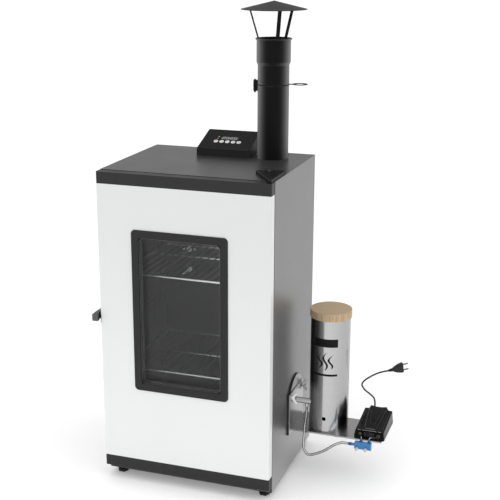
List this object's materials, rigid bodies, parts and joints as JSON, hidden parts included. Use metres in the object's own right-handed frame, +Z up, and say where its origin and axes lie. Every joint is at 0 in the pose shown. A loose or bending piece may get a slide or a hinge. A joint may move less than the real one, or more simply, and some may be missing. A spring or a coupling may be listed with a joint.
{
  "type": "electric smoking cabinet with smoke generator",
  "caption": "Upright smoking cabinet with a glazed door, racks, roof controller, capped chimney with a swing damper, and an external wood smoke generator fed by an air pump on a side shelf.",
  "frame": {"origin": "on the floor under the middle of the cabinet body, at the level of the foot pads", "axes": "+Z up; the door faces -Y; the smoke generator and its shelf are on the +X side"},
  "size_m": [0.9118, 0.4925, 1.488],
  "materials": {
    "cabinet_steel": "brushed",
    "black_enamel": "satin",
    "liner_steel": "satin",
    "mineral_wool": "fibrous",
    "foot_rubber": "matte",
    "black_plastic": "matte",
    "latch_steel": "satin",
    "chrome_wire": "polished",
    "heater_sheath": "oxidised",
    "door_white": "satin",
    "door_back": "satin",
    "window_glass": "tinted",
    "gasket_rubber": "matte",
    "display_lens": "gloss",
    "circuit_board": "satin",
    "button_white": "satin",
    "shelf_steel": "brushed",
    "zinc": "zinc plated",
    "tube_steel": "brushed",
    "lid_wood": "oiled",
    "pump_gloss": "gloss",
    "pump_metal": "satin",
    "valve_blue": "gloss",
    "knob_white": "gloss",
    "clear_hose": "clear",
    "cord_black": "satin"
  },
  "bodies": {
    "cabinet": {"adapter_flange": "shelf_steel", "air_hoses": "clear_hose", "air_manifold": "valve_blue", "ash_grate": "tube_steel", "back_panel": "cabinet_steel", "base_pan": "black_enamel", "bottom_hinge_bracket": "black_enamel", "cabinet_insulation": "mineral_wool", "cap_legs": "black_enamel", "chimney_cap": "black_enamel", "chimney_pipe": "black_enamel", "controller_board": "circuit_board", "controller_housing": "black_plastic", "controller_panel": "black_plastic", "damper_pivot": "black_enamel", "display_module": "display_lens", "fixing_screws": "zinc", "generator_tube": "tube_steel", "heat_deflector": "liner_steel", "heating_element": "heater_sheath", "inner_liner": "liner_steel", "latch_keeper": "latch_steel", "left_side_panel": "cabinet_steel", "levelling_feet": "foot_rubber", "power_inlet": "black_plastic", "pump_base": "pump_gloss", "pump_cover": "pump_gloss", "pump_drive": "pump_metal", "pump_lead": "cord_black", "rack_supports": "chrome_wire", "right_side_panel": "cabinet_steel", "shelf_bracket": "shelf_steel", "smoke_outlet": "shelf_steel", "temperature_probes": "liner_steel", "top_cover": "black_enamel", "top_hinge_plate": "black_enamel"},
    "door": {"door_skin": "door_white", "door_top_cap": "black_plastic", "door_bottom_cap": "black_plastic", "door_inner_panel": "door_back", "door_insulation": "mineral_wool", "window_bezel": "black_plastic", "window_panes": "window_glass", "door_gasket": "gasket_rubber", "latch_base": "latch_steel"},
    "latch": {"latch_lever": "latch_steel"},
    "lower_rack": {"lower_rack": "chrome_wire"},
    "upper_rack": {"upper_rack": "chrome_wire"},
    "drip_tray": {"drip_tray": "liner_steel"},
    "damper": {"damper_plate": "black_enamel"},
    "generator_lid": {"generator_lid": "lid_wood"},
    "wing_nut_front": {"wing_nut_front": "zinc"},
    "wing_nut_rear": {"wing_nut_rear": "zinc"},
    "valve_knob_1": {"valve_knob_1": "knob_white"},
    "valve_knob_2": {"valve_knob_2": "knob_white"},
    "button_1": {"button_1": "button_white"},
    "button_2": {"button_2": "button_white"},
    "button_3": {"button_3": "button_white"},
    "button_4": {"button_4": "button_white"},
    "button_5": {"button_5": "button_white"}
  },
  "joints": [
    {"name": "door_hinge", "type": "hinge", "parent": "cabinet", "child": "door", "pos_m": [0.265, -0.234, 0.5], "axis": [0, 0, 1], "range_deg": [0, 135]},
    {"name": "latch_pivot", "type": "hinge", "parent": "door", "child": "latch", "pos_m": [-0.286, -0.234, 0.549], "axis": [1, 0, 0], "range_deg": [0, 40]},
    {"name": "lower_rack_slide", "type": "slide", "parent": "cabinet", "child": "lower_rack", "axis": [0, -1, 0], "range_m": [0, 0.022]},
    {"name": "upper_rack_slide", "type": "slide", "parent": "cabinet", "child": "upper_rack", "axis": [0, -1, 0], "range_m": [0, 0.022]},
    {"name": "drip_tray_slide", "type": "slide", "parent": "cabinet", "child": "drip_tray", "axis": [0, -1, 0], "range_m": [0, 0.018]},
    {"name": "damper_swing", "type": "hinge", "parent": "cabinet", "child": "damper", "pos_m": [0.10744, 0.10451, 1.235], "axis": [0, 0, -1], "range_deg": [0, 90]},
    {"name": "lid_lift", "type": "slide", "parent": "cabinet", "child": "generator_lid", "axis": [0, 0, 1], "range_m": [0, 0.08]},
    {"name": "button_1_press", "type": "slide", "parent": "cabinet", "child": "button_1", "axis": [0, 0.3398, -0.9405], "range_m": [0, 0.001], "stiffness_N_per_m": 400, "springref_m": -0.001},
    {"name": "button_2_press", "type": "slide", "parent": "cabinet", "child": "button_2", "axis": [0, 0.3398, -0.9405], "range_m": [0, 0.001], "stiffness_N_per_m": 400, "springref_m": -0.001},
    {"name": "button_3_press", "type": "slide", "parent": "cabinet", "child": "button_3", "axis": [0, 0.3398, -0.9405], "range_m": [0, 0.001], "stiffness_N_per_m": 400, "springref_m": -0.001},
    {"name": "button_4_press", "type": "slide", "parent": "cabinet", "child": "button_4", "axis": [0, 0.3398, -0.9405], "range_m": [0, 0.001], "stiffness_N_per_m": 400, "springref_m": -0.001},
    {"name": "button_5_press", "type": "slide", "parent": "cabinet", "child": "button_5", "axis": [0, 0.3398, -0.9405], "range_m": [0, 0.001], "stiffness_N_per_m": 400, "springref_m": -0.001},
    {"name": "wing_nut_front_turn", "type": "hinge", "parent": "cabinet", "child": "wing_nut_front", "pos_m": [0.287, -0.036, 0.266], "axis": [1, 0, 0], "continuous": true},
    {"name": "wing_nut_rear_turn", "type": "hinge", "parent": "cabinet", "child": "wing_nut_rear", "pos_m": [0.287, 0.084, 0.266], "axis": [1, 0, 0], "continuous": true},
    {"name": "valve_knob_1_turn", "type": "hinge", "parent": "cabinet", "child": "valve_knob_1", "pos_m": [0.505, -0.072, 0.141], "axis": [0, -1, 0], "range_deg": [0, 270]},
    {"name": "valve_knob_2_turn", "type": "hinge", "parent": "cabinet", "child": "valve_knob_2", "pos_m": [0.532, -0.072, 0.141], "axis": [0, -1, 0], "range_deg": [0, 270]}
  ]
}
